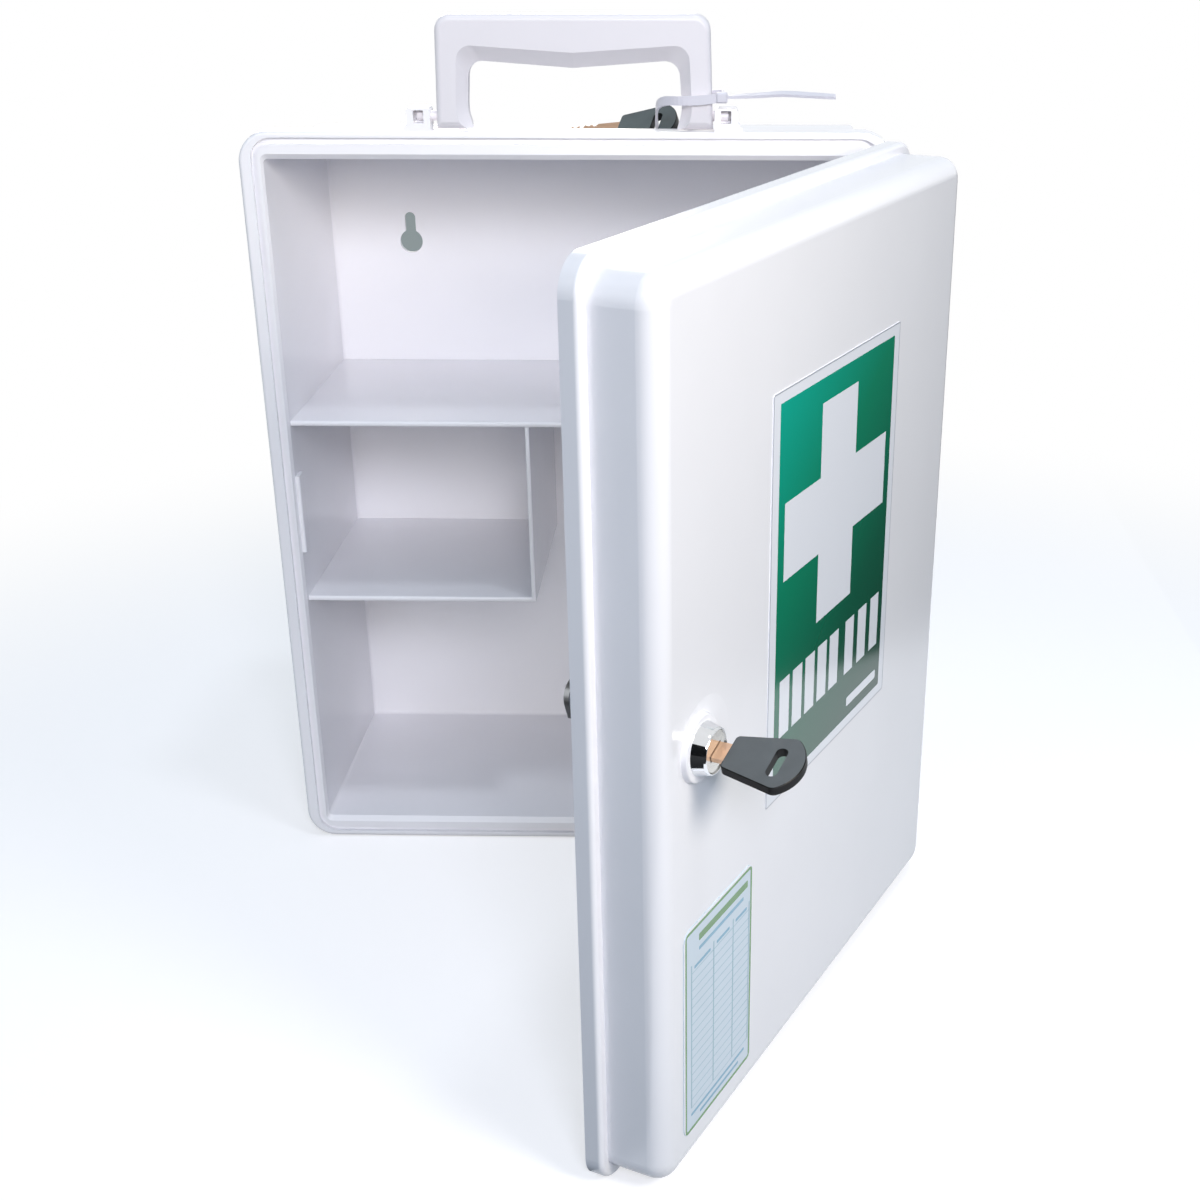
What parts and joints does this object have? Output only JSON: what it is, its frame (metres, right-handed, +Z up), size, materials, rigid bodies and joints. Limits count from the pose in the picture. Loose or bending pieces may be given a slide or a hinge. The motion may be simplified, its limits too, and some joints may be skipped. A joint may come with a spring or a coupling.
{
  "type": "first aid cabinet",
  "caption": "White moulded wall cabinet with a lockable hinged door, two shelves, a folding carry handle, a green cross sign and a spare key on a tie.",
  "frame": {"origin": "on the base plane under the middle of the body, half way along its depth", "axes": "+X to the cabinet's right seen from the front, +Y into the wall, +Z up"},
  "size_m": [0.2935, 0.3726, 0.3764],
  "materials": {
    "white_plastic": "glossy moulded ABS",
    "sign_vinyl": "printed vinyl",
    "label_vinyl": "printed vinyl",
    "lock_chrome": "polished plating",
    "plain_steel": "zinc plated",
    "key_brass": "machined",
    "bow_plastic": "satin moulded",
    "tie_nylon": "natural nylon"
  },
  "bodies": {
    "cabinet": {"cabinet_body": "white_plastic", "upper_shelf": "white_plastic", "lower_shelf": "white_plastic", "shelf_divider": "white_plastic"},
    "door": {"door_shell": "white_plastic", "first_aid_sign": "sign_vinyl", "record_label": "label_vinyl", "lock_body": "lock_chrome", "lock_washer": "plain_steel", "lock_nut": "plain_steel", "hinge_pin_lower": "plain_steel", "hinge_pin_upper": "plain_steel"},
    "lock": {"lock_plug": "lock_chrome", "lock_wafers": "key_brass", "lock_cam": "plain_steel", "cam_screw": "plain_steel"},
    "key": {"key_blade": "key_brass", "key_bow": "bow_plastic"},
    "handle": {"carry_handle": "white_plastic", "cable_tie": "tie_nylon"},
    "spare_key": {"spare_key_blade": "key_brass", "spare_key_bow": "bow_plastic"}
  },
  "joints": [
    {"name": "door_hinge", "type": "hinge", "parent": "cabinet", "child": "door", "pos_m": [0.1382, -0.05955, 0], "axis": [0, 0, 1], "range_deg": [-64.5, 115.5]},
    {"name": "lock_turn", "type": "hinge", "parent": "door", "child": "lock", "pos_m": [0.05919, -0.29187, 0.17], "axis": [0.9026, -0.4305, 0], "range_deg": [-20, 70]},
    {"name": "key_slide", "type": "slide", "parent": "lock", "child": "key", "axis": [0.9026, -0.4305, 0], "range_m": [0, 0.024]},
    {"name": "handle_hinge", "type": "hinge", "parent": "cabinet", "child": "handle", "pos_m": [0.0044, -0.05185, 0.3372], "axis": [1, 0, 0], "range_deg": [0, 75]},
    {"name": "spare_key_swing", "type": "hinge", "parent": "handle", "child": "spare_key", "pos_m": [0.0373, -0.03455, 0.3312], "axis": [0.201, 0.8358, 0.5109], "range_deg": [0, 20]}
  ]
}
